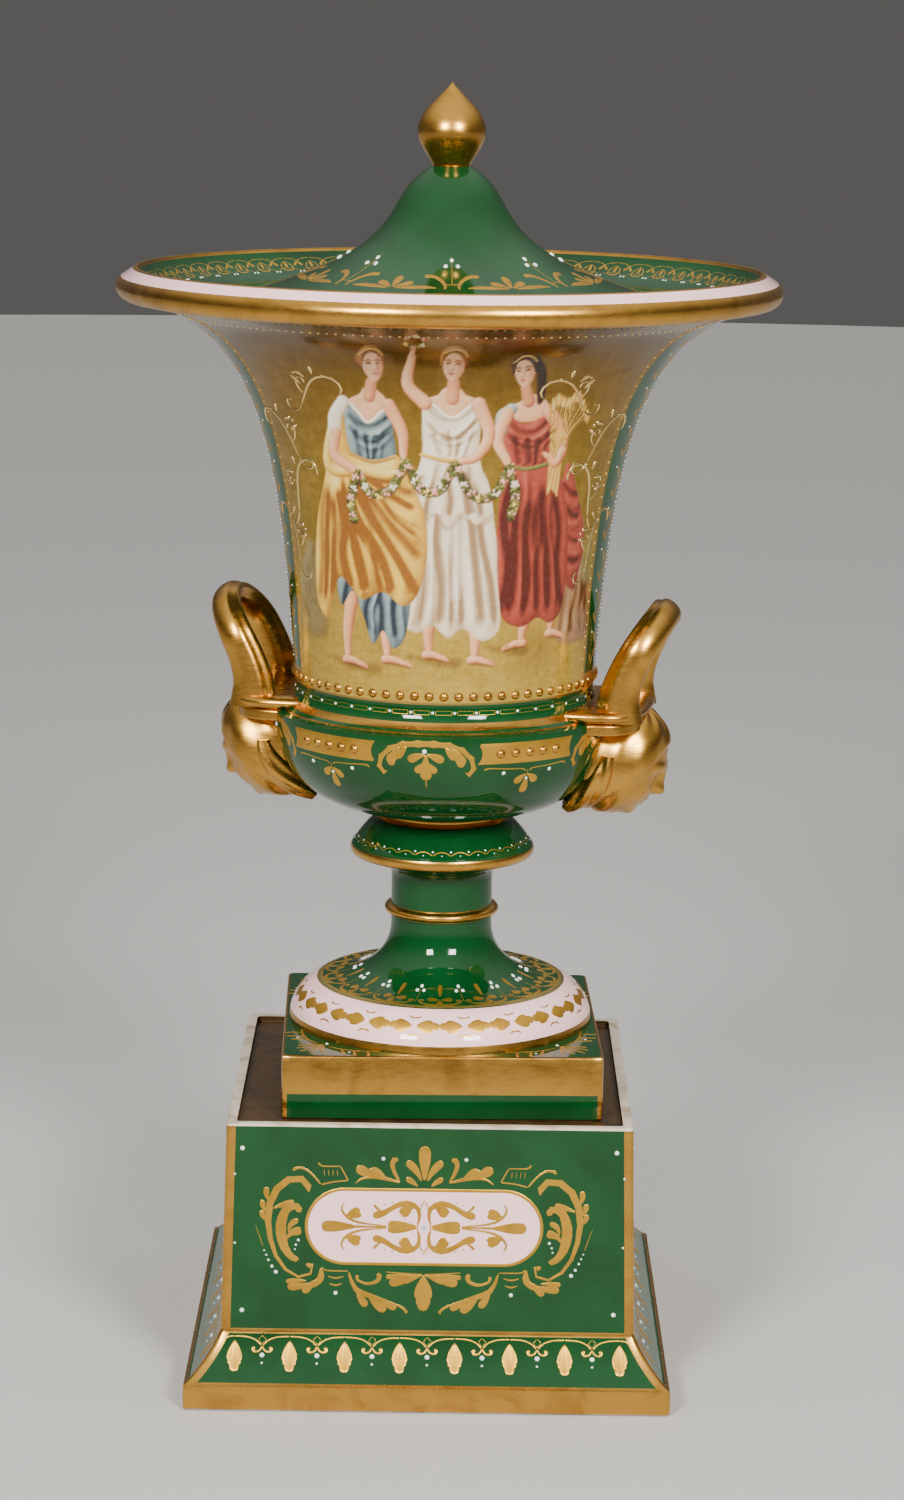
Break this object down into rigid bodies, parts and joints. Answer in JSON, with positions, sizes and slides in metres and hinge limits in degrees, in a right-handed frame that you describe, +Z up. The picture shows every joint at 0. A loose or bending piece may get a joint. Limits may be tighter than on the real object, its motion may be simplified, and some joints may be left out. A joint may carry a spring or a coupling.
{
  "type": "mantel urn",
  "caption": "Covered porcelain mantel urn with a flared mouth, mask handles, a round foot and a square plinth.",
  "frame": {"origin": "the point under the urn's axis on the surface that the plinth stands on, which is the middle of the overall box's underside", "axes": "+Z up along the urn's axis, -Y towards the front with the picture, +X to the right-hand handle"},
  "size_m": [0.215, 0.215, 0.4201],
  "materials": {
    "green_glaze": "glossy green porcelain glaze with gilding",
    "foot_glaze": "glossy green porcelain glaze with a pale pink band and gilding",
    "painted_glaze": "glossy porcelain glaze, painted and gilt",
    "lid_glaze": "glossy green porcelain glaze with a gilt bud"
  },
  "bodies": {
    "root": {"plinth": "green_glaze", "foot": "foot_glaze", "body": "painted_glaze", "lid": "lid_glaze"}
  },
  "joints": []
}
